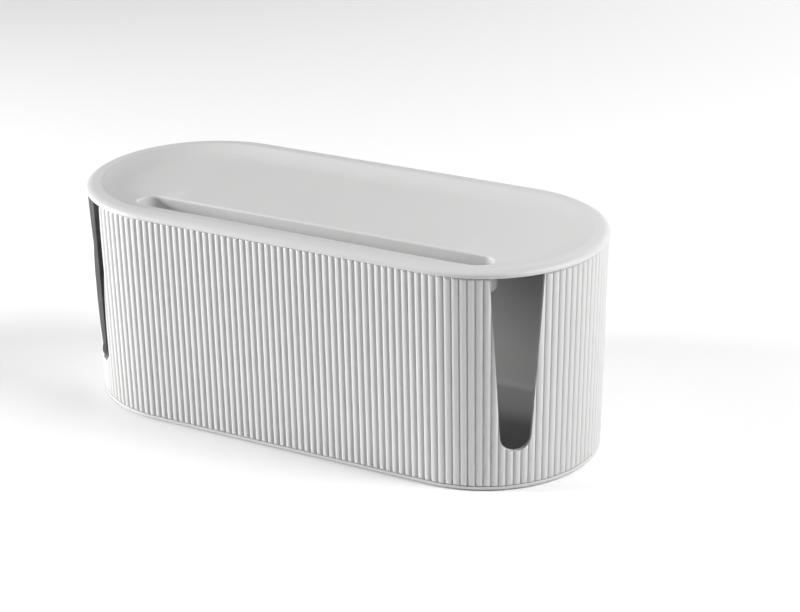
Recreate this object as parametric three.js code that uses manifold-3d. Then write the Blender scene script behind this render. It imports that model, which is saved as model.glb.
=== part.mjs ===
// Cable organiser box: an oval, reeded box with two cable notches and a lift-off lid that has
// a shallow tray and a pen and phone slot in its top.
//
// Millimetres, +Z up. The origin is the centre of the footprint, on the surface the box stands on.
// +X runs along the length to the right end, and -Y is the front, where the cable notches are.
//
// Every horizontal section of the box and the lid is a stadium: two half circles joined by
// straight sides. "Radius" below is a distance from the stadium's spine, the line that joins the
// centres of the two half circles, and "inset" is a distance inwards from the lid's outer edge.

import * as THREE from 'three';
import { mergeVertices } from 'three/addons/utils/BufferGeometryUtils.js';
import Module from 'manifold-3d';

const wasm = await Module();
wasm.setup();

// ---- Overall sizes ----
const LENGTH = 310; // over the lid, along X
const WIDTH = 135; // over the lid, along Y
const HEIGHT = 125; // from the feet to the crest of the lid's rim

// ---- Lid ----
const LID_RIM_HEIGHT = 3.7; // from the lid's lower edge to its crest
const LID_SHELL = 1.8; // thickness of the lid's walls
const LID_DISH_DEPTH = 3.8; // from the crest down to the tray's flat floor
const LID_EDGE_RADIUS = 0.5; // small round along the lower edge
const RIM_ROUND_WIDTH = 4.6; // outer round of the rim, measured inwards
const RIM_ROUND_HEIGHT = 2.3; // outer round of the rim, measured upwards
const RIM_CREST_INSET = 8.5; // where the rim is highest, just outside the tray
const RIM_CREST_ROUND = 1.2; // round over from the crest into the tray, measured inwards
const RIM_CREST_FALL = 0.3; // how far that round falls before the tray's slope starts
const RIM_LAND_RISE = 0.15; // rise from the outer round to the crest
const DISH_SLOPE_WIDTH = 17; // width of the tray's concave slope
const LOCATOR_DEPTH = 3.5; // how far the locating rim reaches into the box
const LOCATOR_THICKNESS = 1.4;
const LOCATOR_CLEARANCE = 0.4; // gap between the locating rim and the box's wall
const LOCATOR_NOTCH_CLEARANCE = 3; // the locating rim stops this far short of a cable notch

// ---- Slot in the lid ----
const SLOT_LENGTH = 221; // over the rounded mouth
const SLOT_WIDTH = 19.8; // over the rounded mouth
const SLOT_DEPTH = 13.9; // from the tray's floor to the slot's floor
const SLOT_MOUTH_ROUND = 1.4; // round along the slot's top edge
const SLOT_FLOOR_ROUND = 2.2; // round between the slot's wall and its floor
const SLOT_SETBACK = 28.7; // from the lid's front edge to the slot's centre line
const SLOT_OFFSET = 3; // the slot's centre lies this far to the right of the middle

// ---- Box ----
const LID_OVERHANG = 0.55; // the lid stands this far proud of the ribs
const BODY_TAPER = 2.3; // the radius grows this much from the base to the top
const WALL = 1.4; // wall thickness at the bottom of a groove between ribs
const FLOOR = 2; // thickness of the base
const FLOOR_FILLET = 4; // round between the inner wall and the floor
const RIB_HEIGHT = 1.2; // from the bottom of a groove to a rib's crest
const RIB_PITCH = 3.9; // wanted spacing of the ribs, measured inside the wall at the base
const RIB_TOP_GAP = 0.4; // the ribs stop this far below the lid
const LIP_INSET = 0.15; // the lip that carries the lid stands back from the grooves
const BASE_BAND_HEIGHT = 1.8; // smooth band under the ribs
const BASE_BAND_PROUD = 0.05; // the band stands this far outside the ribs' crests
const BASE_EDGE_ROUND = 0.6; // round along the band's lower edge

// ---- Cable notches ----
const NOTCH_ANGLE = 41.8; // degrees from the front, round each end
const NOTCH_TOP_WIDTH = 29.2; // at the lid's lower edge
const NOTCH_SILL_RADIUS = 8.5; // radius of the notch's round bottom
const NOTCH_SILL_HEIGHT = 22.5; // from the table to the lowest point of the notch

// ---- Feet ----
const FOOT_DIAMETER = 12;
const FOOT_THICKNESS = 1.4;
const FOOT_STANDOUT = 0.6; // how far the feet stand below the base
const FOOT_CLEARANCE = 0.3; // gap round a foot in its recess
const FOOT_X = 104; // foot positions from the centre
const FOOT_Y = 34;

// ---- How finely the round shapes are faceted ----
const END_FACETS = 28; // round one half circle of a large stadium
const SLOT_END_FACETS = 12;
const POINTS_PER_RIB = 3;
const RIB_SHIFT_POINTS = 1; // how many of them the first groove lies past a straight's end
const FOOT_FACETS = 24;

// ---- Derived sizes ----
const HALF_STRAIGHT = (LENGTH - WIDTH) / 2;
const LID_RADIUS = WIDTH / 2;
const LID_EDGE_Z = HEIGHT - LID_RIM_HEIGHT;
const DISH_FLOOR_Z = HEIGHT - LID_DISH_DEPTH;
const CREST_RADIUS = LID_RADIUS - RIM_CREST_INSET;
const DISH_FLOOR_RADIUS = CREST_RADIUS - RIM_CREST_ROUND - DISH_SLOPE_WIDTH;
const GROOVE_RADIUS_TOP = LID_RADIUS - LID_OVERHANG - RIB_HEIGHT;
const GROOVE_RADIUS_BASE = GROOVE_RADIUS_TOP - BODY_TAPER;
const INNER_RADIUS_TOP = GROOVE_RADIUS_TOP - WALL;
const INNER_RADIUS_BASE = GROOVE_RADIUS_BASE - WALL;
const BASE_Z = FOOT_STANDOUT;
const INNER_FLOOR_Z = BASE_Z + FLOOR;
const RIB_TOP_Z = LID_EDGE_Z - RIB_TOP_GAP;
const SLOT_CENTRE_Y = -(LID_RADIUS - SLOT_SETBACK);
const SLOT_WALL_RADIUS = SLOT_WIDTH / 2 - SLOT_MOUTH_ROUND;
const SLOT_HALF_STRAIGHT = SLOT_LENGTH / 2 - SLOT_WIDTH / 2;
const SLOT_FLOOR_Z = DISH_FLOOR_Z - SLOT_DEPTH;
const OVERLAP = 1; // how far a cutter or a joined piece runs past the face that it meets

// ---- Colours ----
const MOULDED_GREY = new THREE.Color(0.76, 0.76, 0.755);
const SILICONE_GREY = new THREE.Color(0.42, 0.42, 0.42);

function point(radius, z) {
  return new THREE.Vector2(radius, z);
}

// Points along part of an ellipse, from one angle to another, in degrees.
function arc(centreRadius, centreZ, sizeRadius, sizeZ, from, to, steps) {
  const points = [];
  for (let i = 0; i <= steps; i += 1) {
    const angle = THREE.MathUtils.degToRad(from + ((to - from) * i) / steps);
    const radius = centreRadius + sizeRadius * Math.cos(angle);
    points.push(point(radius, centreZ + sizeZ * Math.sin(angle)));
  }
  return points;
}

// The box's outer and inner walls lean out by the same slope all the way up.
function leaned(radiusAtBase, z) {
  return radiusAtBase + (BODY_TAPER * (z - BASE_Z)) / (LID_EDGE_Z - BASE_Z);
}

// A station is a place on a stadium's spine with the direction that points out from it.
function station(x, angle) {
  return { x, outX: Math.cos(angle), outY: Math.sin(angle) };
}

// Evenly spaced stations round both half circles of a smooth stadium.
function smoothStations(halfStraight, endFacets) {
  const stations = [];
  for (const side of [1, -1]) {
    for (let i = 0; i <= endFacets; i += 1) {
      const angle = (Math.PI * i) / endFacets - (side * Math.PI) / 2;
      stations.push({ ...station(side * halfStraight, angle), rise: 0 });
    }
  }
  return stations;
}

// Stations round the reeded wall, with the height of the rib at each one.
function reededStations() {
  const straightRibs = Math.round((2 * HALF_STRAIGHT) / RIB_PITCH);
  const endRibs = Math.round((Math.PI * INNER_RADIUS_BASE) / RIB_PITCH);
  const stations = [];
  const add = (x, angle, step) => {
    const past = (step - RIB_SHIFT_POINTS + POINTS_PER_RIB) % POINTS_PER_RIB;
    const across = (2 * past) / POINTS_PER_RIB - 1;
    stations.push({ ...station(x, angle), rise: RIB_HEIGHT * Math.sqrt(1 - across * across) });
  };
  for (const side of [1, -1]) {
    const endSteps = endRibs * POINTS_PER_RIB;
    for (let i = 0; i < endSteps; i += 1) {
      add(side * HALF_STRAIGHT, (Math.PI * i) / endSteps - (side * Math.PI) / 2, i);
    }
    const straightSteps = straightRibs * POINTS_PER_RIB;
    for (let i = 0; i < straightSteps; i += 1) {
      add(side * HALF_STRAIGHT * (1 - (2 * i) / straightSteps), (side * Math.PI) / 2, i);
    }
  }
  return stations;
}

// Turns a profile round a stadium: a lathe whose columns are moved out to the stations.
function sweep(profile, stations) {
  const geometry = new THREE.LatheGeometry(profile, stations.length);
  const position = geometry.attributes.position;
  for (let column = 0; column <= stations.length; column += 1) {
    const { x, outX, outY, rise } = stations[column % stations.length];
    profile.forEach(({ x: radius, y: z }, row) => {
      const reach = radius > 0 ? radius + rise : 0;
      position.setXYZ(column * profile.length + row, x + outX * reach, outY * reach, z);
    });
  }
  return geometry;
}

// A closed three.js geometry as a solid that can be joined and cut.
function solid(geometry) {
  const bare = geometry.clone();
  bare.deleteAttribute('normal');
  bare.deleteAttribute('uv');
  const merged = mergeVertices(bare, 1e-4);
  const corners = merged.index.array;
  const kept = [];
  for (let i = 0; i < corners.length; i += 3) {
    const [a, b, c] = [corners[i], corners[i + 1], corners[i + 2]];
    if (a !== b && b !== c && c !== a) kept.push(a, b, c);
  }
  const mesh = new wasm.Mesh({
    numProp: 3,
    vertProperties: Float32Array.from(merged.attributes.position.array),
    triVerts: Uint32Array.from(kept),
  });
  return new wasm.Manifold(mesh);
}

// A finished solid as a named mesh with its own material.
function named(name, body, color, roughness) {
  const { vertProperties, triVerts } = body.getMesh();
  const geometry = new THREE.BufferGeometry();
  geometry.setAttribute('position', new THREE.BufferAttribute(vertProperties, 3));
  geometry.setIndex(new THREE.BufferAttribute(triVerts, 1));
  geometry.computeVertexNormals();
  const material = new THREE.MeshStandardMaterial({ color, roughness, metalness: 0 });
  const mesh = new THREE.Mesh(geometry, material);
  mesh.name = name;
  return mesh;
}

function smoothSolid(profile) {
  return solid(sweep(profile, smoothStations(HALF_STRAIGHT, END_FACETS)));
}

// ---- Box ----

function reededWall() {
  const bottom = BASE_Z + BASE_BAND_HEIGHT / 2;
  const profile = [
    point(0, bottom),
    point(leaned(GROOVE_RADIUS_BASE, bottom), bottom),
    point(leaned(GROOVE_RADIUS_BASE, RIB_TOP_Z), RIB_TOP_Z),
    point(0, RIB_TOP_Z),
  ];
  return solid(sweep(profile, reededStations()));
}

function baseBand() {
  const radius = GROOVE_RADIUS_BASE + RIB_HEIGHT + BASE_BAND_PROUD;
  const top = BASE_Z + BASE_BAND_HEIGHT;
  const round = BASE_EDGE_ROUND;
  return smoothSolid([
    point(0, BASE_Z),
    ...arc(radius - round, BASE_Z + round, round, round, -90, 0, 3),
    point(radius, top),
    point(0, top),
  ]);
}

function lip() {
  const bottom = RIB_TOP_Z - OVERLAP;
  return smoothSolid([
    point(0, bottom),
    point(leaned(GROOVE_RADIUS_BASE, bottom) - LIP_INSET, bottom),
    point(leaned(GROOVE_RADIUS_BASE, LID_EDGE_Z) - LIP_INSET, LID_EDGE_Z),
    point(0, LID_EDGE_Z),
  ]);
}

function cavity() {
  const filletZ = INNER_FLOOR_Z + FLOOR_FILLET;
  const filletRadius = leaned(INNER_RADIUS_BASE, filletZ) - FLOOR_FILLET;
  const top = LID_EDGE_Z + OVERLAP;
  return smoothSolid([
    point(0, INNER_FLOOR_Z),
    ...arc(filletRadius, filletZ, FLOOR_FILLET, FLOOR_FILLET, -90, 0, 5),
    point(leaned(INNER_RADIUS_BASE, top), top),
    point(0, top),
  ]);
}

// The U-shaped outline of a cable notch. Its straight sides touch the round sill.
function notchOutline(extraWidth) {
  const sillZ = NOTCH_SILL_HEIGHT + NOTCH_SILL_RADIUS;
  const halfTop = NOTCH_TOP_WIDTH / 2;
  const rise = LID_EDGE_Z - sillZ;
  const reach = Math.hypot(halfTop, rise);
  const touch = Math.atan2(rise, halfTop) - Math.acos(NOTCH_SILL_RADIUS / reach);
  const sideSlope = (halfTop - NOTCH_SILL_RADIUS * Math.cos(touch)) /
    (rise - NOTCH_SILL_RADIUS * Math.sin(touch));
  const halfMouth = halfTop + sideSlope * OVERLAP + extraWidth;
  const outline = new THREE.Shape();
  outline.moveTo(halfMouth, LID_EDGE_Z + OVERLAP);
  outline.lineTo(-halfMouth, LID_EDGE_Z + OVERLAP);
  outline.absarc(0, sillZ, NOTCH_SILL_RADIUS + extraWidth, Math.PI - touch, touch, false);
  return outline;
}

// A prism of the notch's outline, pushed through the wall square to the end's curve.
function notchCutter(side, extraWidth) {
  const start = LID_RADIUS / 2;
  const geometry = new THREE.ExtrudeGeometry(notchOutline(extraWidth), {
    depth: LID_RADIUS,
    bevelEnabled: false,
    curveSegments: 24,
  });
  geometry.rotateX(Math.PI / 2);
  geometry.translate(0, -start, 0);
  geometry.rotateZ(side * THREE.MathUtils.degToRad(NOTCH_ANGLE));
  geometry.translate(side * HALF_STRAIGHT, 0, 0);
  return solid(geometry);
}

function footRecess(x, y) {
  const depth = FOOT_THICKNESS - FOOT_STANDOUT;
  const height = depth + OVERLAP;
  const radius = FOOT_DIAMETER / 2 + FOOT_CLEARANCE;
  const geometry = new THREE.CylinderGeometry(radius, radius, height, FOOT_FACETS);
  geometry.rotateX(Math.PI / 2);
  geometry.translate(x, y, BASE_Z + depth - height / 2);
  return solid(geometry);
}

function boxBody() {
  let body = reededWall().add(baseBand()).add(lip()).subtract(cavity());
  for (const side of [1, -1]) body = body.subtract(notchCutter(side, 0));
  for (const { x, y } of footPlaces()) body = body.subtract(footRecess(x, y));
  return named('box_body', body, MOULDED_GREY, 0.42);
}

// ---- Lid ----

// The tray's slope: steepest under the crest and level where it meets the floor.
function dishSlope(steps) {
  const points = [];
  const drop = LID_DISH_DEPTH - RIM_CREST_FALL;
  const start = CREST_RADIUS - RIM_CREST_ROUND;
  for (let i = 0; i <= steps; i += 1) {
    const left = 1 - i / steps;
    const radius = start - DISH_SLOPE_WIDTH * (1 - left);
    points.push(point(radius, DISH_FLOOR_Z + drop * left * left));
  }
  return points;
}

function lidShell() {
  const roundRadius = LID_RADIUS - RIM_ROUND_WIDTH;
  const roundZ = HEIGHT - RIM_LAND_RISE - RIM_ROUND_HEIGHT;
  const top = [
    ...arc(roundRadius, roundZ, RIM_ROUND_WIDTH, RIM_ROUND_HEIGHT, 0, 80, 5),
    point(CREST_RADIUS, HEIGHT),
    ...dishSlope(6),
    point(0, DISH_FLOOR_Z),
  ];
  const innerZ = LID_EDGE_Z + LID_SHELL / 2;
  const seatRadius = INNER_RADIUS_TOP - LOCATOR_CLEARANCE - LOCATOR_THICKNESS;
  const under = [
    point(0, DISH_FLOOR_Z - LID_SHELL),
    point(DISH_FLOOR_RADIUS, DISH_FLOOR_Z - LID_SHELL),
    point(CREST_RADIUS - RIM_CREST_ROUND, innerZ),
    point(seatRadius - OVERLAP / 2, innerZ),
    point(seatRadius - OVERLAP / 4, LID_EDGE_Z),
    ...arc(LID_RADIUS - LID_EDGE_RADIUS, LID_EDGE_Z + LID_EDGE_RADIUS,
      LID_EDGE_RADIUS, LID_EDGE_RADIUS, -90, -20, 2),
  ];
  return smoothSolid([...under, ...top]);
}

// The rim under the lid that sits just inside the box's wall. It is left out at the notches.
function locatingRim() {
  const outer = INNER_RADIUS_TOP - LOCATOR_CLEARANCE;
  const inner = outer - LOCATOR_THICKNESS;
  const bottom = LID_EDGE_Z - LOCATOR_DEPTH;
  const top = LID_EDGE_Z + LID_SHELL / 4;
  let rim = smoothSolid([point(inner, bottom), point(outer, bottom),
    point(outer, top), point(inner, top), point(inner, bottom)]);
  for (const side of [1, -1]) {
    rim = rim.subtract(notchCutter(side, LOCATOR_NOTCH_CLEARANCE));
  }
  return rim;
}

function slotSolid(profile) {
  const geometry = sweep(profile, smoothStations(SLOT_HALF_STRAIGHT, SLOT_END_FACETS));
  geometry.translate(SLOT_OFFSET, SLOT_CENTRE_Y, 0);
  return solid(geometry);
}

function slotTrough() {
  const radius = SLOT_WALL_RADIUS + LID_SHELL;
  const round = SLOT_FLOOR_ROUND + LID_SHELL / 2;
  const bottom = SLOT_FLOOR_Z - LID_SHELL;
  const top = DISH_FLOOR_Z - LID_SHELL / 8; // the front wall reaches into the tray's slope
  return slotSolid([
    point(0, bottom),
    ...arc(radius - round, bottom + round, round, round, -90, 0, 4),
    point(radius, top),
    point(0, top),
  ]);
}

function slotCutter() {
  const round = SLOT_FLOOR_ROUND;
  const mouth = SLOT_MOUTH_ROUND;
  const top = HEIGHT + OVERLAP;
  return slotSolid([
    point(0, SLOT_FLOOR_Z),
    ...arc(SLOT_WALL_RADIUS - round, SLOT_FLOOR_Z + round, round, round, -90, 0, 3),
    ...arc(SLOT_WIDTH / 2, DISH_FLOOR_Z - mouth, mouth, mouth, 180, 90, 3),
    point(SLOT_WIDTH / 2, top),
    point(0, top),
  ]);
}

function lid() {
  const body = lidShell().add(locatingRim()).add(slotTrough()).subtract(slotCutter());
  return named('lid', body, MOULDED_GREY, 0.4);
}

// ---- Feet ----

function footPlaces() {
  const places = [];
  for (const [row, y] of [['front', -FOOT_Y], ['rear', FOOT_Y]]) {
    for (const [end, x] of [['left', -FOOT_X], ['right', FOOT_X]]) {
      places.push({ name: `foot_${row}_${end}`, x, y });
    }
  }
  return places;
}

function foot({ name, x, y }) {
  const radius = FOOT_DIAMETER / 2;
  const geometry = new THREE.CylinderGeometry(radius, radius, FOOT_THICKNESS, FOOT_FACETS);
  geometry.rotateX(Math.PI / 2);
  geometry.translate(x, y, FOOT_THICKNESS / 2);
  return named(name, solid(geometry), SILICONE_GREY, 0.7);
}

const cableBox = new THREE.Group();
cableBox.name = 'cable_organiser_box';
cableBox.add(boxBody(), lid(), ...footPlaces().map(foot));

export default cableBox;
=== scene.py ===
"""Cable organiser box: an oval, reeded box with a dished, lift-off lid, built and dressed.

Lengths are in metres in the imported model's own frame: +Z is up, +X runs along the length to the
right end, and -Y is the front. Every horizontal section of the box and of the lid is a stadium,
two half circles joined by straight sides. A "radius" is a distance from the stadium's spine, the
line that joins the centres of its half circles, and a profile is a list of (radius, height)
points that is swept round the stadium.
"""

import logging
import math
from collections.abc import Callable, Iterator
from contextlib import contextmanager
from dataclasses import dataclass
from enum import Enum
from typing import Any

import bmesh
import bpy
from mathutils import Matrix, Vector


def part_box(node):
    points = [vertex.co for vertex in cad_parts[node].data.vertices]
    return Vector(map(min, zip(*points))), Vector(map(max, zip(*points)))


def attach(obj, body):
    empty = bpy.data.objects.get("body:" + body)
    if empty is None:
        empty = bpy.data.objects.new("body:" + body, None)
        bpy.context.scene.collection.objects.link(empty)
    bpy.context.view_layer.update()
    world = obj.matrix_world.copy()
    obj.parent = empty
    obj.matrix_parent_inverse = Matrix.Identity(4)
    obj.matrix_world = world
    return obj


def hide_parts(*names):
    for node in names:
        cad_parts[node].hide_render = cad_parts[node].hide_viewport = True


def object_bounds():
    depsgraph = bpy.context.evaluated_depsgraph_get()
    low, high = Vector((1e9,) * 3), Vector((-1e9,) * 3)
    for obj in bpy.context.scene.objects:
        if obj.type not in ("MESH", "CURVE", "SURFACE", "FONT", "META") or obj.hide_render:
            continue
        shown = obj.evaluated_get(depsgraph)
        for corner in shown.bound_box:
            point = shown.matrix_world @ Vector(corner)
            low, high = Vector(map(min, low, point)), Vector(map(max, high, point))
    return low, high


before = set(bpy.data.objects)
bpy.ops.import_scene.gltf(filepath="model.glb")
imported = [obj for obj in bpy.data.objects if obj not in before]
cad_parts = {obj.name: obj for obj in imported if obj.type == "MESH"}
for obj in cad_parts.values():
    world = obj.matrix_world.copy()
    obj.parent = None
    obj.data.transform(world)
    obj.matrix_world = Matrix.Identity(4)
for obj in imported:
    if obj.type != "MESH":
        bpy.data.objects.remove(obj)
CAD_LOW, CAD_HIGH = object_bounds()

LOG = logging.getLogger("cable_box")
MM = 0.001
TOUCHING = 0.002 * MM  # points closer than this are one point
SHARP = 38  # edges that turn by more than this, in degrees, are shaded as sharp

Profile = list[tuple[float, float]]


# ---- Modelling tools ----


def activate(obj: bpy.types.Object) -> None:
    """Makes one object the only selected one and the active one.

    Args:
        obj: The object to work on.
    """
    bpy.ops.object.select_all(action="DESELECT")
    obj.select_set(True)
    bpy.context.view_layer.objects.active = obj


@contextmanager
def editing(obj: bpy.types.Object) -> Iterator[None]:
    """Opens a mesh in edit mode with all of it selected, and closes it again.

    Args:
        obj: The mesh object to open.
    """
    activate(obj)
    bpy.ops.object.mode_set(mode="EDIT")
    bpy.ops.mesh.select_mode(type="VERT")
    bpy.ops.mesh.select_all(action="SELECT")
    yield
    bpy.ops.object.mode_set(mode="OBJECT")


def select_where(obj: bpy.types.Object, test: Callable[[Vector], bool]) -> None:
    """Selects the points of the mesh being edited whose place passes a test.

    Args:
        obj: The mesh object, open in edit mode.
        test: Says whether a point is to be selected.
    """
    mesh = bmesh.from_edit_mesh(obj.data)
    for vertex in mesh.verts:
        vertex.select = test(vertex.co)
    mesh.select_flush_mode()
    bmesh.update_edit_mesh(obj.data)


def select_faces(obj: bpy.types.Object, test: Callable[[Vector, Vector], bool]) -> None:
    """Selects the faces of the mesh being edited whose centre and normal pass a test.

    Args:
        obj: The mesh object, open in edit mode.
        test: Takes a face's centre and its normal, and says whether it is to be selected.
    """
    bpy.ops.mesh.select_mode(type="FACE")
    mesh = bmesh.from_edit_mesh(obj.data)
    for face in mesh.faces:
        face.select_set(test(face.calc_center_median(), face.normal))
    bmesh.update_edit_mesh(obj.data)


def draw_chain(name: str, points: list[Vector]) -> bpy.types.Object:
    """Draws a chain of edges, starting from a small plane that is merged to one point.

    Args:
        name: The new object's name.
        points: The chain's points, in order.

    Returns:
        The new mesh object.
    """
    bpy.ops.object.select_all(action="DESELECT")
    bpy.ops.mesh.primitive_plane_add(size=MM, location=points[0])
    obj = bpy.context.active_object
    obj.name = name
    bpy.ops.object.transform_apply(location=True, rotation=True, scale=True)
    with editing(obj):
        bpy.ops.mesh.merge(type="CENTER")
        for start, end in zip(points, points[1:]):
            bpy.ops.mesh.extrude_vertices_move(TRANSFORM_OT_translate={"value": end - start})
    return obj


def spin(pivot: tuple[float, float, float], angle: float, steps: int,
         copies: bool = False) -> None:
    """Spins the selection anticlockwise, seen from above, about an upright axis.

    Args:
        pivot: A point on the axis.
        angle: The whole angle, in radians.
        steps: How many steps it is made in.
        copies: Whether separate copies are made, rather than a surface.
    """
    # The operator counts a positive angle clockwise.
    bpy.ops.mesh.spin(steps=steps, angle=-angle, center=pivot, axis=(0, 0, 1), dupli=copies)


def move(obj: bpy.types.Object, shift: Vector, turn: float = 0.0) -> None:
    """Turns an object about the upright axis, shifts it, and applies both to its mesh.

    Args:
        obj: The object, at the origin.
        shift: How far it moves.
        turn: The angle that it turns first, anticlockwise seen from above, in radians.
    """
    activate(obj)
    obj.location = shift
    obj.rotation_euler = (0, 0, turn)
    bpy.ops.object.transform_apply(location=True, rotation=True, scale=True)


def copy_of(obj: bpy.types.Object, name: str) -> bpy.types.Object:
    """Copies an object with a mesh of its own.

    Args:
        obj: The object to copy.
        name: The copy's name.

    Returns:
        The copy.
    """
    activate(obj)
    bpy.ops.object.duplicate(linked=False)
    twin = bpy.context.active_object
    twin.name = name
    return twin


def apply_modifier(obj: bpy.types.Object, kind: str, **settings: Any) -> None:
    """Adds a modifier to an object and applies it.

    Args:
        obj: The object to change.
        kind: The modifier's type.
        settings: The modifier's settings.
    """
    activate(obj)
    modifier = obj.modifiers.new(kind.title(), kind)
    for key, value in settings.items():
        setattr(modifier, key, value)
    bpy.ops.object.modifier_apply(modifier=modifier.name)


class Cut(Enum):
    """What a tool does to the piece that it is applied to."""

    AWAY = "DIFFERENCE"
    JOIN = "UNION"


def combine(obj: bpy.types.Object, tool: bpy.types.Object, cut: Cut) -> None:
    """Cuts a piece with a tool, or joins the tool to it, and removes the tool.

    Args:
        obj: The piece.
        tool: A closed mesh.
        cut: Whether the tool is taken away or joined on.
    """
    apply_modifier(obj, "BOOLEAN", object=tool, operation=cut.value, solver="MANIFOLD")
    bpy.data.objects.remove(tool)


def join(pieces: list[bpy.types.Object]) -> bpy.types.Object:
    """Joins several objects into the first of them.

    Args:
        pieces: The objects.

    Returns:
        The first object, which now holds all of them.
    """
    activate(pieces[0])
    for piece in pieces:
        piece.select_set(True)
    bpy.ops.object.join()
    return pieces[0]


def close_up(obj: bpy.types.Object) -> None:
    """Merges a mesh's doubled points and turns its faces outwards.

    Args:
        obj: The mesh object.
    """
    with editing(obj):
        bpy.ops.mesh.remove_doubles(threshold=TOUCHING)
        bpy.ops.mesh.dissolve_degenerate(threshold=TOUCHING / 4)
        bpy.ops.mesh.select_all(action="SELECT")
        bpy.ops.mesh.normals_make_consistent(inside=False)


def smooth(obj: bpy.types.Object) -> None:
    """Shades a piece smoothly between its sharp edges, with its flat faces kept flat.

    Args:
        obj: The piece.
    """
    activate(obj)
    bpy.ops.object.shade_smooth_by_angle(angle=math.radians(SHARP))
    apply_modifier(obj, "WEIGHTED_NORMAL", mode="FACE_AREA", weight=100, keep_sharp=True)


def arc(centre: tuple[float, float], size: tuple[float, float], start: float, end: float,
        steps: int) -> Profile:
    """Gives points along part of an upright ellipse.

    Args:
        centre: The ellipse's centre, as (radius, height).
        size: Its half width and half height.
        start: The angle of the first point, in degrees.
        end: The angle of the last point, in degrees.
        steps: How many steps there are between them.

    Returns:
        The points, with both ends.
    """
    angles = [math.radians(start + (end - start) * i / steps) for i in range(steps + 1)]
    return [(centre[0] + size[0] * math.cos(a), centre[1] + size[1] * math.sin(a))
            for a in angles]


@dataclass(frozen=True)
class Stadium:
    """The line that a stadium is drawn round."""

    half_straight: float
    centre: tuple[float, float] = (0.0, 0.0)

    def stations(self, steps: int) -> list[tuple[Vector, Vector]]:
        """Gives the places round the stadium where a swept mesh has its columns.

        Args:
            steps: How many steps there are round each end.

        Returns:
            The point on the spine and the outward direction of each column.
        """
        x, y = self.centre
        places = []
        for side in (1, -1):
            spine = Vector((x + side * self.half_straight, y, 0))
            for i in range(steps + 1):
                angle = math.pi * i / steps - side * math.pi / 2
                places.append((spine, Vector((math.cos(angle), math.sin(angle), 0))))
        return places

    def swept(self, name: str, profile: Profile, steps: int) -> bpy.types.Object:
        """Sweeps a profile round the stadium: spun round each end and extruded between them.

        Args:
            name: The new object's name.
            profile: The profile, which is closed or starts and ends on the spine.
            steps: How many steps there are round each end.

        Returns:
            The closed mesh.
        """
        x, y = self.centre
        obj = draw_chain(name, [Vector((x + self.half_straight, y - r, z)) for r, z in profile])
        with editing(obj):
            for side in (1, -1):
                pivot = (x + side * self.half_straight, y, 0)
                spin(pivot, math.pi, steps)
                along = Vector((-2 * side * self.half_straight, 0, 0))
                bpy.ops.mesh.extrude_region_move(TRANSFORM_OT_translate={"value": along})
        close_up(obj)
        return obj


# ---- Finishes ----


class Graph:
    """Adds and links the nodes of one shader tree."""

    def __init__(self, tree: bpy.types.NodeTree) -> None:
        """Takes the tree to work in."""
        self.tree = tree

    def add(self, kind: str, inputs: dict[Any, Any] | None = None,
            **settings: Any) -> bpy.types.Node:
        """Adds a node, with its settings and its inputs.

        Args:
            kind: The node's type.
            inputs: What goes into each of its sockets, another node's socket or a value.
            settings: The node's own settings.

        Returns:
            The new node.
        """
        node = self.tree.nodes.new(kind)
        for key, value in settings.items():
            setattr(node, key, value)
        for key, value in (inputs or {}).items():
            if isinstance(value, bpy.types.NodeSocket):
                self.tree.links.new(value, node.inputs[key])
            else:
                node.inputs[key].default_value = value
        return node

    def noise(self, where: bpy.types.NodeSocket, size: float, detail: float = 2.0,
              roughness: float = 0.5) -> bpy.types.NodeSocket:
        """Adds a noise pattern.

        Args:
            where: The coordinates that it reads.
            size: The width of its spots.
            detail: How many finer layers it has.
            roughness: How strong they are.

        Returns:
            The pattern, from 0 to 1.
        """
        node = self.add("ShaderNodeTexNoise", {"Vector": where, "Scale": 1 / size,
                                               "Detail": detail, "Roughness": roughness})
        return node.outputs["Fac"]

    def math(self, operation: str, a: Any, b: Any = 0.0,
             clamp: bool = False) -> bpy.types.NodeSocket:
        """Adds a sum of two values.

        Args:
            operation: The operation's name.
            a: The first value or socket.
            b: The second value or socket.
            clamp: Whether the result stays between 0 and 1.

        Returns:
            The result.
        """
        node = self.add("ShaderNodeMath", {0: a, 1: b}, operation=operation, use_clamp=clamp)
        return node.outputs[0]

    def ramp(self, value: bpy.types.NodeSocket, low: float, high: float, to_low: float = 0.0,
             to_high: float = 1.0) -> bpy.types.NodeSocket:
        """Adds a range that is mapped to another one, and held at its ends.

        Args:
            value: The value to map.
            low: The start of its range.
            high: The end of its range.
            to_low: What the start becomes.
            to_high: What the end becomes.

        Returns:
            The mapped value.
        """
        node = self.add("ShaderNodeMapRange", {"Value": value, "From Min": low,
                                               "From Max": high, "To Min": to_low,
                                               "To Max": to_high}, clamp=True)
        return node.outputs["Result"]

    def blend(self, share: bpy.types.NodeSocket, under: Any, over: Any) -> bpy.types.NodeSocket:
        """Lays one colour over another.

        Args:
            share: How much of the upper colour shows.
            under: The lower colour or socket.
            over: The upper colour or socket.

        Returns:
            The mixed colour.
        """
        node = self.add("ShaderNodeMix", data_type="RGBA")
        self.tree.links.new(share, node.inputs["Factor"])
        for socket, colour in ((node.inputs[6], under), (node.inputs[7], over)):
            if isinstance(colour, bpy.types.NodeSocket):
                self.tree.links.new(colour, socket)
            else:
                socket.default_value = (*colour, 1.0)
        return node.outputs[2]


class Effect(Enum):
    """The surface effects that more than one finish uses, each one a node group."""

    GRAIN = "spark_grain"
    DRIFT = "tone_drift"
    WEAR = "edge_wear"
    DUST = "settled_dust"
    SMUDGE = "handling_smudges"


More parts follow.
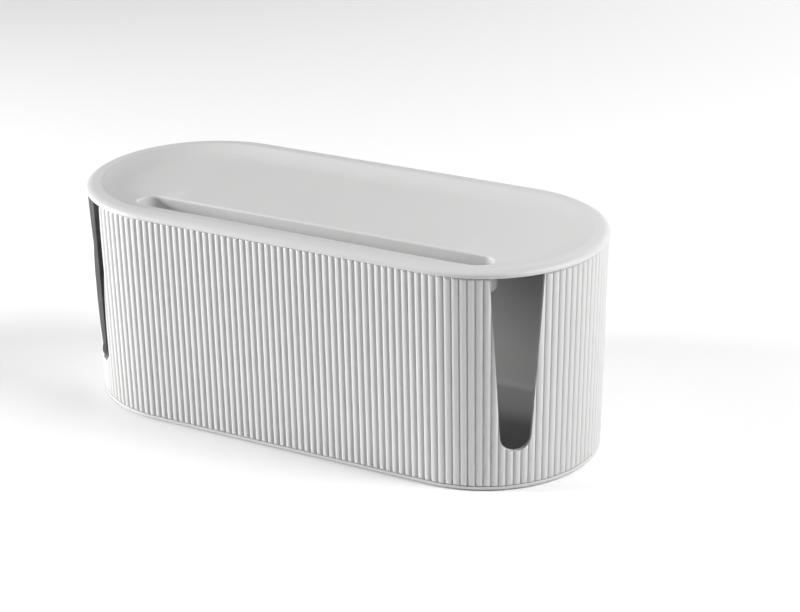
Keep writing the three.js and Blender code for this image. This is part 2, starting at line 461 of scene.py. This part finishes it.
def open_group(effect: Effect, inputs: list[str],
               output: str) -> tuple[Graph, bpy.types.Node, bpy.types.Node]:
    """Starts a node group with named values in and one value out.

    Args:
        effect: The effect that the group makes.
        inputs: The names of its inputs.
        output: The name of its output.

    Returns:
        The group's graph, its input node and its output node.
    """
    tree = bpy.data.node_groups.new(effect.value, "ShaderNodeTree")
    for name in inputs:
        tree.interface.new_socket(name, in_out="INPUT", socket_type="NodeSocketFloat")
    tree.interface.new_socket(output, in_out="OUTPUT", socket_type="NodeSocketFloat")
    graph = Graph(tree)
    return graph, graph.add("NodeGroupInput"), graph.add("NodeGroupOutput")


def make_grain() -> None:
    """Makes the fine grain that a spark-eroded mould leaves on plastic or silicone."""
    graph, given, result = open_group(Effect.GRAIN, ["Fineness"], "Height")
    place = graph.add("ShaderNodeTexCoord").outputs["Object"]
    coarse = graph.add("ShaderNodeTexNoise", {"Vector": place, "Scale": given.outputs["Fineness"],
                                              "Detail": 3.0, "Roughness": 0.62})
    finer = graph.math("MULTIPLY", given.outputs["Fineness"], 2.7)
    pits = graph.add("ShaderNodeTexVoronoi", {"Vector": place, "Scale": finer})
    pitted = graph.math("MULTIPLY", graph.ramp(pits.outputs["Distance"], 0.0, 0.55), 0.35)
    height = graph.math("ADD", coarse.outputs["Fac"], pitted)
    graph.tree.links.new(height, result.inputs["Height"])


def make_drift() -> None:
    """Makes the faint, broad change of tone that moulded plastic has."""
    graph, given, result = open_group(Effect.DRIFT, ["Strength"], "Drift")
    place = graph.add("ShaderNodeTexCoord").outputs["Object"]
    broad = graph.noise(place, 70 * MM, 2.0)
    fine = graph.noise(place, 9 * MM, 3.0)
    both = graph.math("ADD", graph.math("MULTIPLY", broad, 0.75), graph.math("MULTIPLY", fine, 0.25))
    drift = graph.math("MULTIPLY", graph.math("SUBTRACT", both, 0.5), given.outputs["Strength"])
    graph.tree.links.new(drift, result.inputs["Drift"])


def make_wear() -> None:
    """Makes a mask of edges that are rubbed, broken up by noise."""
    graph, given, result = open_group(Effect.WEAR, ["Strength"], "Mask")
    place = graph.add("ShaderNodeTexCoord").outputs["Object"]
    ridges = graph.ramp(graph.add("ShaderNodeNewGeometry").outputs["Pointiness"], 0.52, 0.62)
    patches = graph.ramp(graph.noise(place, 6 * MM, 4.0, 0.6), 0.42, 0.66)
    mask = graph.math("MULTIPLY", graph.math("MULTIPLY", ridges, patches),
                      given.outputs["Strength"], clamp=True)
    graph.tree.links.new(mask, result.inputs["Mask"])


def make_dust() -> None:
    """Makes a mask of the dust that settles on faces that look up and in narrow hollows."""
    graph, given, result = open_group(Effect.DUST, ["Strength"], "Mask")
    place = graph.add("ShaderNodeTexCoord").outputs["Object"]
    geometry = graph.add("ShaderNodeNewGeometry")
    facing = graph.add("ShaderNodeSeparateXYZ", {0: geometry.outputs["Normal"]}).outputs["Z"]
    upward = graph.ramp(facing, 0.55, 1.0)
    hollow = graph.ramp(geometry.outputs["Pointiness"], 0.49, 0.40)
    specks = graph.ramp(graph.noise(place, 0.8 * MM, 4.0, 0.7), 0.45, 0.75)
    drifts = graph.ramp(graph.noise(place, 35 * MM, 2.0), 0.35, 0.7)
    lying = graph.math("MULTIPLY", upward, graph.math("MULTIPLY", specks, drifts))
    caught = graph.math("ADD", lying, graph.math("MULTIPLY", hollow, 0.6))
    mask = graph.math("MULTIPLY", caught, given.outputs["Strength"], clamp=True)
    graph.tree.links.new(mask, result.inputs["Mask"])


def make_smudge() -> None:
    """Makes a mask of the soft marks that hands leave."""
    graph, given, result = open_group(Effect.SMUDGE, ["Strength"], "Mask")
    place = graph.add("ShaderNodeTexCoord").outputs["Object"]
    marks = graph.ramp(graph.noise(place, 26 * MM, 3.0, 0.55), 0.52, 0.72)
    mask = graph.math("MULTIPLY", marks, given.outputs["Strength"], clamp=True)
    graph.tree.links.new(mask, result.inputs["Mask"])


def make_effects() -> None:
    """Makes every surface effect once."""
    for maker in (make_grain, make_drift, make_wear, make_dust, make_smudge):
        maker()


@dataclass(frozen=True)
class Finish:
    """A moulded surface: its colour, its gloss, and how strong each surface effect is on it."""

    name: str
    colour: tuple[float, float, float]
    worn_colour: tuple[float, float, float]
    dust_colour: tuple[float, float, float]
    roughness: float
    grain_size: float
    grain_depth: float
    specular: float = 0.5
    drift: float = 0.05
    wear: float = 0.25
    dust: float = 0.12
    smudges: float = 0.05
    tone_range: float = 0.14
    wear_polish: float = 0.25
    dust_dulling: float = 0.6

    def effect(self, graph: Graph, effect: Effect, value: float) -> bpy.types.NodeSocket:
        """Places one effect in a material, with this finish's own value.

        Args:
            graph: The material's graph.
            effect: The effect to place.
            value: Its strength, or the fineness of the grain.

        Returns:
            The effect's output.
        """
        node = graph.add("ShaderNodeGroup", node_tree=bpy.data.node_groups[effect.value])
        node.inputs[0].default_value = value
        return node.outputs[0]

    def material(self) -> bpy.types.Material:
        """Makes the finish's material.

        Returns:
            The new material.
        """
        made = bpy.data.materials.new(self.name)
        made.use_nodes = True
        made.node_tree.nodes.clear()
        graph = Graph(made.node_tree)
        drift = self.effect(graph, Effect.DRIFT, self.drift)
        wear = self.effect(graph, Effect.WEAR, self.wear)
        dust = self.effect(graph, Effect.DUST, self.dust)
        smudges = self.effect(graph, Effect.SMUDGE, self.smudges)
        grain = self.effect(graph, Effect.GRAIN, 1 / self.grain_size)

        darker = tuple((1 - self.tone_range) * c for c in self.colour)
        lighter = tuple(min(1.0, (1 + self.tone_range) * c) for c in self.colour)
        tone = graph.blend(graph.math("ADD", drift, 0.5, clamp=True), darker, lighter)
        colour = graph.blend(dust, graph.blend(wear, tone, self.worn_colour), self.dust_colour)

        gloss = graph.math("ADD", graph.math("MULTIPLY", drift, 0.9), self.roughness)
        gloss = graph.math("SUBTRACT", gloss, graph.math("MULTIPLY", wear, self.wear_polish))
        gloss = graph.math("SUBTRACT", gloss, smudges)
        dulled = graph.math("MULTIPLY", dust, self.dust_dulling)
        gloss = graph.math("ADD", gloss, dulled, clamp=True)

        bump = graph.add("ShaderNodeBump", {"Strength": 1.0, "Distance": self.grain_depth,
                                            "Height": grain})
        shader = graph.add("ShaderNodeBsdfPrincipled",
                           {"Base Color": colour, "Roughness": gloss,
                            "Specular IOR Level": self.specular,
                            "Normal": bump.outputs["Normal"]})
        graph.add("ShaderNodeOutputMaterial", {"Surface": shader.outputs["BSDF"]})
        return made


BOX_PLASTIC = Finish("satin_plastic_box", (0.60, 0.60, 0.597), (0.68, 0.68, 0.676),
                     (0.56, 0.55, 0.53), roughness=0.42, grain_size=0.35 * MM,
                     grain_depth=0.012 * MM)
LID_PLASTIC = Finish("satin_plastic_lid", (0.60, 0.60, 0.597), (0.68, 0.68, 0.676),
                     (0.64, 0.63, 0.61), roughness=0.46, grain_size=0.30 * MM,
                     grain_depth=0.012 * MM, wear=0.2, dust=0.10)
PAD_SILICONE = Finish("matt_silicone_pad", (0.34, 0.34, 0.34), (0.45, 0.45, 0.45),
                      (0.42, 0.41, 0.39), roughness=0.72, grain_size=0.22 * MM,
                      grain_depth=0.02 * MM, specular=0.35, drift=0.1, dust=0.3)


def dress(obj: bpy.types.Object, finish: bpy.types.Material) -> None:
    """Gives a piece one material all over.

    Args:
        obj: The piece.
        finish: Its material.
    """
    obj.data.materials.clear()
    obj.data.materials.append(finish)


# ---- The box ----


class Run(Enum):
    """Where a stave stands: along a straight side, or round an end."""

    STRAIGHT = "straight"
    END = "end"


@dataclass
class Stave:
    """One rib's width of the box: its ribs with their share of the band, the wall and the floor."""

    box: "ReededBox"
    run: Run

    def column(self, across: float) -> tuple[Vector, Vector]:
        """Gives the spine point and the outward direction of one column of the stave.

        Args:
            across: How far across the stave the column is, from 0 to 1.

        Returns:
            The point on the spine, and the direction.
        """
        if self.run is Run.STRAIGHT:
            x = self.box.half_straight - across * self.box.straight_pitch
            return Vector((x, 0, 0)), Vector((0, -1, 0))
        angle = across * self.box.end_pitch
        return Vector((self.box.half_straight, 0, 0)), Vector((math.sin(angle), -math.cos(angle), 0))

    def place(self, across: float, radius: float, height: float) -> Vector:
        """Gives the place of one point of the stave, before its rib is pulled out."""
        spine, outward = self.column(across)
        return spine + radius * outward + Vector((0, 0, height))

    def widen(self, step: float) -> None:
        """Extrudes the stave's last column by a share of its width.

        Args:
            step: The share of the stave's width.
        """
        if self.run is Run.STRAIGHT:
            along = Vector((-step * self.box.straight_pitch, 0, 0))
            bpy.ops.mesh.extrude_region_move(TRANSFORM_OT_translate={"value": along})
        else:
            spin((self.box.half_straight, 0, 0), step * self.box.end_pitch, 1)

    def columns(self) -> list[tuple[float, float]]:
        """Gives the columns of the stave, with the groove where the box's rib shift puts it.

        Returns:
            How far across the stave each column is, and its share of the rib's height.
        """
        segments = self.box.rib_segments
        shift = self.box.rib_shift if self.run is Run.END else 1 - self.box.rib_shift
        places = {(1 - math.cos(math.pi * i / segments)) / 2 + shift for i in range(segments)}
        across = [0.0, *sorted(place % 1.0 for place in places), 1.0]
        return [(a, math.sqrt(1 - (2 * ((a - shift) % 1.0) - 1) ** 2)) for a in across]

    def build(self) -> bpy.types.Object:
        """Builds the stave: a flat one first, then its ribs are pulled out of it.

        Returns:
            The stave, open at its two sides.
        """
        columns = self.columns()
        rows = self.box.wall_rows()
        stave = draw_chain("stave", [self.place(0, r, z) for r, z, _ in rows])
        with editing(stave):
            for (before, _), (after, _) in zip(columns, columns[1:]):
                self.widen(after - before)
            for across, _ in columns[1:-1]:
                spine, _ = self.column(across)
                side, _ = self.column(round(across))
                select_where(stave, lambda p, s=spine: (p - s).xy.length < TOUCHING)
                bpy.ops.transform.translate(value=side - spine)
            bulges = [(r, z, bulge) for r, z, bulge in rows if bulge > 0]
            for across, crown in columns:
                _, outward = self.column(across)
                for radius, height, bulge in bulges:
                    spot = self.place(across, radius, height)
                    select_where(stave, lambda p, s=spot: (p - s).length < TOUCHING)
                    pull = outward * (self.box.rib_height * bulge * crown)
                    bpy.ops.transform.translate(value=pull)
        return stave


@dataclass
class ReededBox:
    """The moulded box: a reeded wall on a smooth band, a floor, and two cable notches."""

    half_straight: float
    lid_radius: float
    base_z: float
    top_z: float
    lid_overhang: float = 0.55 * MM
    taper: float = 2.3 * MM
    wall: float = 1.4 * MM
    floor: float = 2.0 * MM
    floor_fillet: float = 4.0 * MM
    rib_height: float = 1.2 * MM
    rib_end_round: float = 1.1 * MM
    rib_top_gap: float = 0.4 * MM
    rib_segments: int = 8
    rib_shift: float = 1 / 3
    straight_ribs: int = 45
    end_ribs: int = 50
    lip_inset: float = 0.15 * MM
    lip_round: float = 0.2 * MM
    band_height: float = 1.8 * MM
    band_proud: float = 0.05 * MM
    band_round: float = 0.6 * MM
    notch_angle: float = 41.8
    notch_top_width: float = 29.2 * MM
    notch_sill_radius: float = 8.5 * MM
    notch_sill_height: float = 22.5 * MM
    notch_steps: int = 96
    recess_clearance: float = 0.3 * MM

    @property
    def straight_pitch(self) -> float:
        """The width of a stave on the straight sides."""
        return 2 * self.half_straight / self.straight_ribs

    @property
    def end_pitch(self) -> float:
        """The angle of a stave round the ends, in radians."""
        return math.pi / self.end_ribs

    def groove_radius(self, height: float) -> float:
        """Gives the radius at the bottom of the grooves at some height, on the leaning wall."""
        top = self.lid_radius - self.lid_overhang - self.rib_height
        return top - self.taper * (self.top_z - height) / (self.top_z - self.base_z)

    def wall_rows(self) -> list[tuple[float, float, float]]:
        """Gives the rows of a stave, from the middle of the underside to that of the floor.

        Returns:
            A radius, a height and the share of the rib's full height for each row.
        """
        band_top = self.base_z + self.band_height
        band_radius = self.groove_radius(self.base_z) + self.rib_height + self.band_proud
        corner = (band_radius - self.band_round, self.base_z + self.band_round)
        ease = self.band_round / 3
        shoulder = (band_radius - ease, band_top - ease)
        outside = [(0.0, self.base_z),
                   *arc(corner, (self.band_round,) * 2, -90, 0, 4),
                   *arc(shoulder, (ease,) * 2, 0, 90, 3)]
        rows = [(r, z, 0.0) for r, z in outside]

        rib_top = self.top_z - self.rib_top_gap
        rounds = [math.radians(90 * i / 4) for i in range(5)]
        for angle in rounds:
            z = band_top + self.rib_end_round * (1 - math.cos(angle))
            rows.append((self.groove_radius(z), z, math.sin(angle)))
        for share in (0.25, 0.5, 0.75):
            z = band_top + (rib_top - band_top) * share
            rows.append((self.groove_radius(z), z, 1.0))
        for angle in reversed(rounds):
            z = rib_top - self.rib_end_round * (1 - math.cos(angle))
            rows.append((self.groove_radius(z), z, math.sin(angle)))

        lip_radius = self.groove_radius(self.top_z) - self.lip_inset
        inner_top = self.groove_radius(self.top_z) - self.wall
        edge = self.lip_round
        lip = [(lip_radius, rib_top),
               *arc((lip_radius - edge, self.top_z - edge), (edge,) * 2, 0, 90, 3),
               *arc((inner_top + edge, self.top_z - edge), (edge,) * 2, 90, 180, 3)]
        inner_floor = self.base_z + self.floor
        fillet_z = inner_floor + self.floor_fillet
        fillet_radius = self.groove_radius(fillet_z) - self.wall - self.floor_fillet
        inside = [*arc((fillet_radius, fillet_z), (self.floor_fillet,) * 2, 0, -90, 8),
                  (0.0, inner_floor)]
        rows += [(r, z, 0.0) for r, z in lip + inside]
        return rows

    def wall_and_floor(self) -> bpy.types.Object:
        """Builds the whole box out of its staves, before anything is cut out of it.

        Returns:
            The closed mesh.
        """
        front = Stave(self, Run.STRAIGHT).build()
        apply_modifier(front, "ARRAY", count=self.straight_ribs, use_relative_offset=False,
                       use_constant_offset=True, use_merge_vertices=True,
                       constant_offset_displace=(-self.straight_pitch, 0, 0),
                       merge_threshold=TOUCHING)
        end = Stave(self, Run.END).build()
        with editing(end):
            others = self.end_ribs - 1
            spin((self.half_straight, 0, 0), self.end_pitch * others, others, copies=True)
        half = join([front, end])
        rest = copy_of(half, "other_half")
        move(rest, Vector((0, 0, 0)), math.pi)
        shell = join([half, rest])
        shell.name = "box_shell"
        close_up(shell)
        return shell

    def notch_tool(self, side: int, grow: float = 0.0) -> bpy.types.Object:
        """Makes the tool that cuts a cable notch: a round sill with sides that lean apart.

        Args:
            side: 1 for the right notch and -1 for the left one.
            grow: How much wider than the notch it is, on each side.

        Returns:
            The tool, in its place.
        """
        sill_z = self.notch_sill_height + self.notch_sill_radius
        half_top = self.notch_top_width / 2
        rise = self.top_z - sill_z
        touch = math.atan2(rise, half_top) - math.acos(
            self.notch_sill_radius / math.hypot(half_top, rise))
        touch_height = self.notch_sill_radius * math.sin(touch)
        touch_half = self.notch_sill_radius * math.cos(touch)
        above = 1.0 * MM
        half_mouth = half_top + above * (half_top - touch_half) / (rise - touch_height)
        reach = self.lid_radius

        bpy.ops.object.select_all(action="DESELECT")
        bpy.ops.mesh.primitive_cylinder_add(
            vertices=self.notch_steps, radius=self.notch_sill_radius + grow, depth=reach,
            location=(0, -reach, sill_z), rotation=(math.pi / 2, 0, 0))
        tool = bpy.context.active_object
        bpy.ops.object.transform_apply(location=True, rotation=True, scale=True)
        with editing(tool):
            level = sill_z + touch_height
            bpy.ops.mesh.bisect(plane_co=(0, 0, level), plane_no=(0, 0, 1), use_fill=True,
                                clear_outer=True)
            select_where(tool, lambda p: p.z > level - TOUCHING)
            width = max(v.co.x for v in bmesh.from_edit_mesh(tool.data).verts if v.select)
            lift = self.top_z + above - level
            bpy.ops.mesh.extrude_region_move(TRANSFORM_OT_translate={"value": (0, 0, lift)})
            bpy.ops.transform.resize(value=((half_mouth + grow) / width, 1, 1),
                                     center_override=(0, -reach, self.top_z))
        close_up(tool)
        move(tool, Vector((side * self.half_straight, 0, 0)),
             side * math.radians(self.notch_angle))
        return tool

    def build(self, pads: "Pads") -> bpy.types.Object:
        """Builds the box with its notches and the recesses of its pads.

        Args:
            pads: The pads that stand in the recesses.

        Returns:
            The finished box.
        """
        shell = self.wall_and_floor()
        for side in (1, -1):
            combine(shell, self.notch_tool(side), Cut.AWAY)
        for node in pads.nodes:
            combine(shell, pads.recess_tool(node, self.base_z, self.recess_clearance), Cut.AWAY)
        close_up(shell)
        smooth(shell)
        return shell


# ---- The lid ----


@dataclass
class Lid:
    """The moulded lid: a rounded rim, a dished tray, a slot with its trough, and a locating rim."""

    box: ReededBox
    top_z: float
    edge_round: float = 0.5 * MM
    shell: float = 1.8 * MM
    dish_depth: float = 3.8 * MM
    rim_round_width: float = 4.6 * MM
    rim_round_height: float = 2.3 * MM
    crest_inset: float = 8.5 * MM
    crest_round: float = 1.2 * MM
    crest_fall: float = 0.3 * MM
    land_rise: float = 0.15 * MM
    ridge_dip_outside: float = 0.02 * MM
    ridge_dip_inside: float = 0.09 * MM
    slope_width: float = 17.0 * MM
    locator_depth: float = 3.5 * MM
    locator_thickness: float = 1.4 * MM
    locator_clearance: float = 0.4 * MM
    locator_notch_clearance: float = 3.0 * MM
    seat_inset: float = 0.5 * MM
    slot_length: float = 221.0 * MM
    slot_width: float = 19.8 * MM
    slot_depth: float = 13.9 * MM
    slot_mouth_round: float = 1.4 * MM
    slot_floor_round: float = 2.2 * MM
    slot_setback: float = 28.7 * MM
    slot_offset: float = 3.0 * MM
    end_steps: int = 96
    slot_steps: int = 40

    @property
    def edge_z(self) -> float:
        """The height of the lid's lower edge, where it stands on the box."""
        return self.box.top_z

    @property
    def tray_z(self) -> float:
        """The height of the tray's flat floor."""
        return self.top_z - self.dish_depth

    @property
    def slot_path(self) -> Stadium:
        """The stadium that the slot is drawn round."""
        half = self.slot_length / 2 - self.slot_width / 2
        return Stadium(half, (self.slot_offset, -(self.box.lid_radius - self.slot_setback)))

    @property
    def slot_radius(self) -> float:
        """The slot's radius below its rounded mouth."""
        return self.slot_width / 2 - self.slot_mouth_round

    @property
    def slope_start(self) -> float:
        """The radius where the tray's slope starts, just inside the crest."""
        return self.box.lid_radius - self.crest_inset - self.crest_round

    def tray_height(self, radius: float) -> float:
        """Gives the height of the tray: level in the middle, and steepest under the crest."""
        share = max(0.0, 1 - (self.slope_start - radius) / self.slope_width)
        return self.tray_z + (self.dish_depth - self.crest_fall) * share ** 2

    def top_profile(self) -> Profile:
        """Gives the outline of the rim, its crest and the tray, from the edge to the middle.

        Returns:
            The profile.
        """
        land_z = self.top_z - self.land_rise
        round_centre = (self.box.lid_radius - self.rim_round_width, land_z - self.rim_round_height)
        rim = arc(round_centre, (self.rim_round_width, self.rim_round_height), 0, 84, 12)
        crest = self.box.lid_radius - self.crest_inset
        steps = 18
        reaches = [self.slope_start - self.slope_width * i / steps for i in range(steps + 1)]
        slope = [(r, self.tray_height(r)) for r in reaches]
        half_round = self.crest_round / 2
        ridge = [(crest + half_round, self.top_z - self.ridge_dip_outside), (crest, self.top_z),
                 (crest - half_round, self.top_z - self.ridge_dip_inside)]
        return [*rim, *ridge, *slope, (0.0, self.tray_z)]

    def under_profile(self) -> Profile:
        """Gives the outline of the lid's underside, from the middle to the edge.

        Returns:
            The profile.
        """
        step_z = self.edge_z + self.shell / 2
        seat = self.locator_radius - self.locator_thickness - self.seat_inset
        edge = (self.box.lid_radius - self.edge_round, self.edge_z + self.edge_round)
        under_slope = self.slope_start - self.slope_width
        return [(0.0, self.tray_z - self.shell), (under_slope, self.tray_z - self.shell),
                (self.slope_start, step_z), (seat, step_z), (seat, self.edge_z),
                *arc(edge, (self.edge_round,) * 2, -90, -10, 4)]

    @property
    def locator_radius(self) -> float:
        """The outer radius of the locating rim, just inside the box's wall."""
        return self.box.groove_radius(self.edge_z) - self.box.wall - self.locator_clearance

    def locating_rim(self) -> bpy.types.Object:
        """Builds the rim under the lid, left out at the cable notches.

        Returns:
            The rim.
        """
        outer = self.locator_radius
        inner = outer - self.locator_thickness
        bottom, top = self.edge_z - self.locator_depth, self.edge_z + self.shell / 4
        ease = self.locator_thickness / 4
        profile = [(inner, top), *arc((inner + ease, bottom + ease), (ease,) * 2, 180, 270, 3),
                   *arc((outer - ease, bottom + ease), (ease,) * 2, 270, 360, 3),
                   (outer, top), (inner, top)]
        rim = Stadium(self.box.half_straight).swept("locating_rim", profile, self.end_steps)
        for side in (1, -1):
            combine(rim, self.box.notch_tool(side, self.locator_notch_clearance), Cut.AWAY)
        return rim

    def trough(self) -> bpy.types.Object:
        """Builds the outside of the slot's trough.

        Returns:
            The trough.
        """
        radius = self.slot_radius + self.shell
        turn = self.slot_floor_round + self.shell / 2
        bottom = self.tray_z - self.slot_depth - self.shell
        top = self.tray_z - self.shell / 8
        return self.slot_path.swept("trough", [
            (0.0, bottom), *arc((radius - turn, bottom + turn), (turn,) * 2, -90, 0, 8),
            (radius, top), (0.0, top)], self.slot_steps)

    def slot_tool(self) -> bpy.types.Object:
        """Makes the tool that cuts the slot, with a floor and a mouth that are rounded.

        The rounded mouth follows the tray, so it is raised where the tray's slope runs into it.

        Returns:
            The tool.
        """
        floor = self.tray_z - self.slot_depth
        mouth, turn = self.slot_mouth_round, self.slot_floor_round
        through = 0.03 * MM  # the mouth's round runs this far past the tray's surface
        roof = self.top_z + 2.0 * MM
        path = self.slot_path
        brim = arc((self.slot_width / 2, self.tray_z - mouth + through), (mouth,) * 2, 180, 90, 10)
        tool = path.swept("slot_tool", [
            (0.0, floor),
            *arc((self.slot_radius - turn, floor + turn), (turn,) * 2, -90, 0, 8),
            *brim, (self.slot_width / 2, roof), (0.0, roof)], self.slot_steps)
        box_half, low, high = self.box.half_straight, brim[0][1], brim[-1][1]
        with editing(tool):
            for spine, outward in path.stations(self.slot_steps):
                edge = spine + outward * self.slot_width / 2
                beyond = max(0.0, abs(edge.x) - box_half)
                rise = self.tray_height(math.hypot(beyond, edge.y)) - self.tray_z
                if rise < TOUCHING:
                    continue
                side = Vector((-outward.y, outward.x, 0))
                select_where(tool, lambda p: low - TOUCHING < p.z < high + TOUCHING
                             and abs((p - spine).dot(side)) < TOUCHING
                             and (p - spine).dot(outward) > 0)
                bpy.ops.transform.translate(value=(0, 0, rise))
        return tool

    def build(self) -> bpy.types.Object:
        """Builds the lid.

        Returns:
            The finished lid.
        """
        outline = Stadium(self.box.half_straight)
        lid = outline.swept("lid_shell", self.under_profile() + self.top_profile(), self.end_steps)
        combine(lid, self.locating_rim(), Cut.JOIN)
        combine(lid, self.trough(), Cut.JOIN)
        combine(lid, self.slot_tool(), Cut.AWAY)
        close_up(lid)
        smooth(lid)
        return lid


# ---- The pads ----


@dataclass
class Pads:
    """The four silicone pads that the box stands on, each in a shallow recess."""

    nodes: list[str]
    steps: int = 64
    edge_round: float = 0.35 * MM
    ring_inset: float = 1.6 * MM
    ring_depth: float = 0.15 * MM

    def recess_tool(self, node: str, base_z: float, clearance: float) -> bpy.types.Object:
        """Makes the tool that cuts one pad's recess in the underside of the box.

        Args:
            node: The pad's CAD node.
            base_z: The height of the box's underside.
            clearance: The gap left round the pad.

        Returns:
            The tool, in its place.
        """
        low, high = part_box(node)
        centre = (low + high) / 2
        below = 1.0 * MM
        bpy.ops.object.select_all(action="DESELECT")
        bpy.ops.mesh.primitive_cylinder_add(
            vertices=self.steps, radius=(high.x - low.x) / 2 + clearance,
            depth=high.z - base_z + below, location=(centre.x, centre.y, (high.z + base_z - below) / 2))
        tool = bpy.context.active_object
        bpy.ops.object.transform_apply(location=True, rotation=True, scale=True)
        return tool

    def first(self) -> bpy.types.Object:
        """Models one pad at the origin: a disc with a rounded edge and a ring in its face.

        Returns:
            The pad.
        """
        low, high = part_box(self.nodes[0])
        height = high.z - low.z
        bpy.ops.object.select_all(action="DESELECT")
        bpy.ops.mesh.primitive_cylinder_add(vertices=self.steps, radius=(high.x - low.x) / 2,
                                            depth=height, location=(0, 0, height / 2))
        pad = bpy.context.active_object
        bpy.ops.object.transform_apply(location=True, rotation=True, scale=True)
        with editing(pad):
            select_where(pad, lambda p: p.z < TOUCHING)
            bpy.ops.mesh.bevel(offset=self.edge_round, segments=4, affect="EDGES")
            select_faces(pad, lambda centre, normal: normal.z < -0.99)
            bpy.ops.mesh.inset(thickness=self.ring_inset)
            bpy.ops.mesh.inset(thickness=self.ring_depth, depth=-self.ring_depth)
        return pad

    def build(self) -> list[bpy.types.Object]:
        """Builds every pad in its place.

        Returns:
            The pads, in the order of their nodes.
        """
        first = self.first()
        pads = []
        for node in self.nodes:
            low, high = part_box(node)
            pad = copy_of(first, node.replace("foot", "pad"))
            centre = (low + high) / 2
            move(pad, Vector((centre.x, centre.y, low.z)))
            smooth(pad)
            pads.append(pad)
        bpy.data.objects.remove(first)
        return pads


# ---- The studio ----


@dataclass(frozen=True)
class Softbox:
    """A soft square light that looks at the middle of the box."""

    name: str
    azimuth: float
    elevation: float
    distance: float
    size: float
    power: float

    def place(self, target: Vector) -> None:
        """Adds the light.

        Args:
            target: The point that it looks at.
        """
        data = bpy.data.lights.new(self.name, "AREA")
        data.shape = "SQUARE"
        data.size = self.size
        data.energy = self.power
        light = bpy.data.objects.new(self.name, data)
        bpy.context.scene.collection.objects.link(light)
        back = direction(self.azimuth, self.elevation)
        light.location = target + back * self.distance
        light.rotation_euler = (-back).to_track_quat("-Z", "Y").to_euler()


def direction(azimuth: float, elevation: float) -> Vector:
    """Gives the direction from the box towards a light or a camera.

    Args:
        azimuth: 0 in front, and 90 at the right end, in degrees.
        elevation: The height above the horizon, in degrees.

    Returns:
        The direction, one unit long.
    """
    a, e = math.radians(azimuth), math.radians(elevation)
    return Vector((math.sin(a) * math.cos(e), -math.cos(a) * math.cos(e), math.sin(e)))


@dataclass
class Studio:
    """A pale floor, soft lights and the camera."""

    target: Vector
    lights: tuple[Softbox, ...] = (
        Softbox("key_left", -64, 14, 1.6, 0.4, 36),
        Softbox("low_right", 92, 14, 1.6, 0.5, 6),
        Softbox("rim_right", 104, 44, 1.6, 0.8, 21),
        Softbox("back", 180, 22, 1.6, 0.8, 5),
        Softbox("overhead", 0, 88, 1.6, 0.9, 4),
    )
    ambient: float = 0.03
    floor_size: float = 12.0
    floor_tone: float = 0.93
    lens: float = 96.96
    azimuth: float = 28.705
    elevation: float = 22.812
    roll: float = -0.804
    distance: float = 1.2062
    aim_shift: tuple[float, float, float] = (28.1 * MM, 15.4 * MM, -1.1 * MM)

    def add_floor(self) -> None:
        """Adds the floor."""
        bpy.ops.object.select_all(action="DESELECT")
        bpy.ops.mesh.primitive_plane_add(size=self.floor_size)
        floor = bpy.context.active_object
        floor.name = "studio_floor"
        paint = bpy.data.materials.new("pale_floor")
        paint.use_nodes = True
        shader = paint.node_tree.nodes["Principled BSDF"]
        tone = self.floor_tone
        shader.inputs["Base Color"].default_value = (tone, tone, tone, 1.0)
        shader.inputs["Roughness"].default_value = 0.9
        shader.inputs["Specular IOR Level"].default_value = 0.1
        dress(floor, paint)

    def add_lights(self) -> None:
        """Adds the lights and the pale surroundings."""
        for light in self.lights:
            light.place(self.target)
        world = bpy.data.worlds.new("pale_room")
        world.use_nodes = True
        background = world.node_tree.nodes["Background"]
        background.inputs["Color"].default_value = (1.0, 1.0, 1.0, 1.0)
        background.inputs["Strength"].default_value = self.ambient
        bpy.context.scene.world = world
        bpy.context.scene.view_settings.view_transform = "Standard"

    def add_camera(self) -> None:
        """Adds the camera."""
        data = bpy.data.cameras.new("camera")
        data.lens = self.lens
        camera = bpy.data.objects.new("camera", data)
        bpy.context.scene.collection.objects.link(camera)
        back = direction(self.azimuth, self.elevation)
        camera.location = self.target + Vector(self.aim_shift) + back * self.distance
        look = (-back).to_track_quat("-Z", "Y").to_matrix().to_4x4()
        camera.rotation_euler = (look @ Matrix.Rotation(math.radians(self.roll), 4, "Z")).to_euler()
        bpy.context.scene.camera = camera

    def build(self) -> None:
        """Builds the studio."""
        self.add_floor()
        self.add_lights()
        self.add_camera()


def main() -> None:
    """Builds the box, the lid, the pads and the studio."""
    logging.basicConfig(level=logging.INFO, format="%(message)s")
    lid_low, lid_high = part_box("lid")
    box_low, box_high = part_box("box_body")
    pads = Pads(sorted(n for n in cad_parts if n.startswith("foot_")))
    box = ReededBox(half_straight=(lid_high.x - lid_high.y), lid_radius=lid_high.y,
                    base_z=box_low.z, top_z=box_high.z)
    lid = Lid(box, top_z=lid_high.z)
    make_effects()

    shell = box.build(pads)
    dress(shell, BOX_PLASTIC.material())
    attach(shell, "box")
    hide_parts("box_body")
    LOG.info("%s: %d faces", shell.name, len(shell.data.polygons))

    cover = lid.build()
    dress(cover, LID_PLASTIC.material())
    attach(cover, "lid")
    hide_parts("lid")
    LOG.info("%s: %d faces", cover.name, len(cover.data.polygons))

    silicone = PAD_SILICONE.material()
    for node, pad in zip(pads.nodes, pads.build()):
        dress(pad, silicone)
        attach(pad, "box")
        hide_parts(node)
        LOG.info("%s: %d faces", pad.name, len(pad.data.polygons))

    Studio(target=Vector((0, 0, (CAD_LOW.z + CAD_HIGH.z) / 2))).build()


if __name__ == "__main__":
    main()
